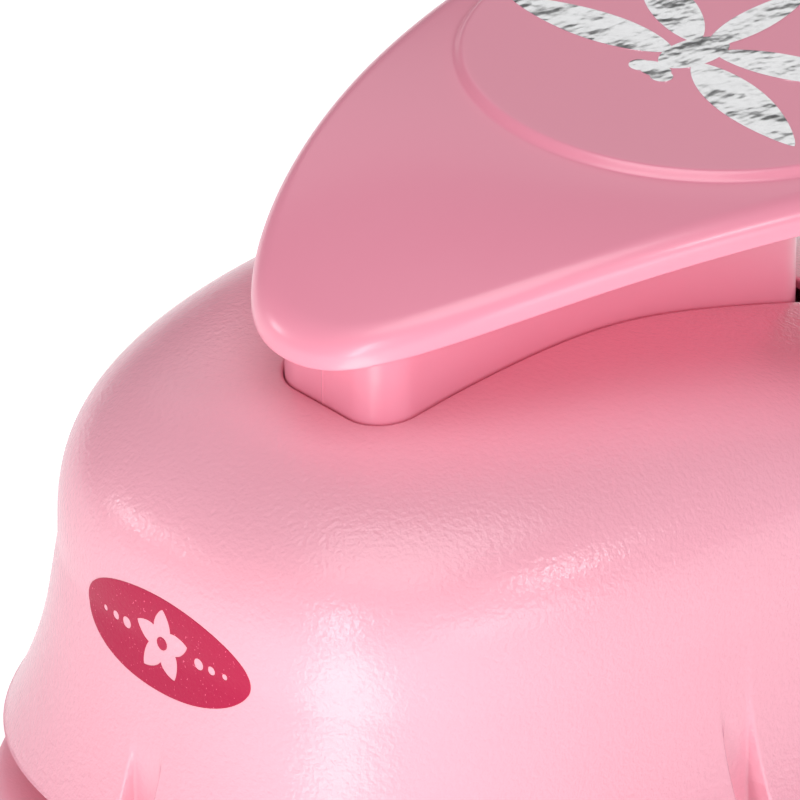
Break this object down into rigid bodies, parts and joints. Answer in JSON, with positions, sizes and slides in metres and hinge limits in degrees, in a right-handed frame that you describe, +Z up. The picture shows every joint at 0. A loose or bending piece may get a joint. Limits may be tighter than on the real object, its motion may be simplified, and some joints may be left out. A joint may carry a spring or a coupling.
{
  "type": "craft punch",
  "caption": "Thumb-lever paper punch with a domed plastic housing, a sprung arched lever, and a steel guide, die and dragonfly-shaped punch over a chip outlet.",
  "frame": {"origin": "on the table, under the middle of the outline seen from above", "axes": "+Z up, -Y is the front where the paper goes in and the lever's narrow end points, +Y is the thumb end, X is across the punch"},
  "size_m": [0.064, 0.0887, 0.0572],
  "materials": {
    "housing": "pale pink moulded plastic with a fine spark-eroded grain",
    "lever": "smooth glossy pink moulded plastic",
    "print": "raspberry pad-printed ink",
    "foil": "silver hot-stamped foil",
    "tool_steel": "ground hardened steel",
    "frame_steel": "zinc-plated sheet steel",
    "holder_zinc": "plain die-cast metal block",
    "spring_steel": "bright spring wire",
    "screws": "zinc-plated screws"
  },
  "bodies": {
    "housing": {"body_shell": "housing", "front_print": "print", "base": "housing", "base_screw_left": "screws", "base_screw_right": "screws", "die_screw_front_left": "screws", "die_screw_front_right": "screws", "die_screw_rear_left": "screws", "die_screw_rear_right": "screws", "die_plate": "tool_steel", "paper_stop": "frame_steel", "guide_plate": "frame_steel", "pivot_bracket": "frame_steel", "frame_rivet_left": "frame_steel", "frame_rivet_right": "frame_steel", "bracket_rivet_front_left": "frame_steel", "bracket_rivet_front_right": "frame_steel", "bracket_rivet_rear_left": "frame_steel", "bracket_rivet_rear_right": "frame_steel", "guide_screw_front_left": "screws", "guide_screw_front_right": "screws", "guide_screw_rear_left": "screws", "guide_screw_rear_right": "screws", "lever_pivot_pin": "tool_steel", "pin_clip_left": "spring_steel", "pin_clip_right": "spring_steel", "return_spring_front": "spring_steel", "return_spring_left": "spring_steel", "return_spring_right": "spring_steel"},
    "lever_assembly": {"lever": "lever", "lever_core": "frame_steel", "core_screw_front": "screws", "core_screw_rear": "screws", "motif_foil": "foil"},
    "punch_assembly": {"punch_die": "tool_steel", "punch_holder": "holder_zinc", "holder_screw_left": "screws", "holder_screw_right": "screws"}
  },
  "joints": [
    {"name": "lever_press", "type": "hinge", "parent": "housing", "child": "lever_assembly", "pos_m": [0, -0.0158, 0.034], "axis": [-1, 0, 0], "range_deg": [0, 12.5], "stiffness_Nm_per_rad": 0.17, "springref_deg": -28.65},
    {"name": "punch_stroke", "type": "slide", "parent": "housing", "child": "punch_assembly", "axis": [0, 0, -1], "range_m": [0, 0.0024], "deforming": ["return_spring_front", "return_spring_left", "return_spring_right"]}
  ],
  "couplings": [
    {"joint": "punch_stroke", "follows": "lever_press", "m_per_rad": 0.0108}
  ]
}
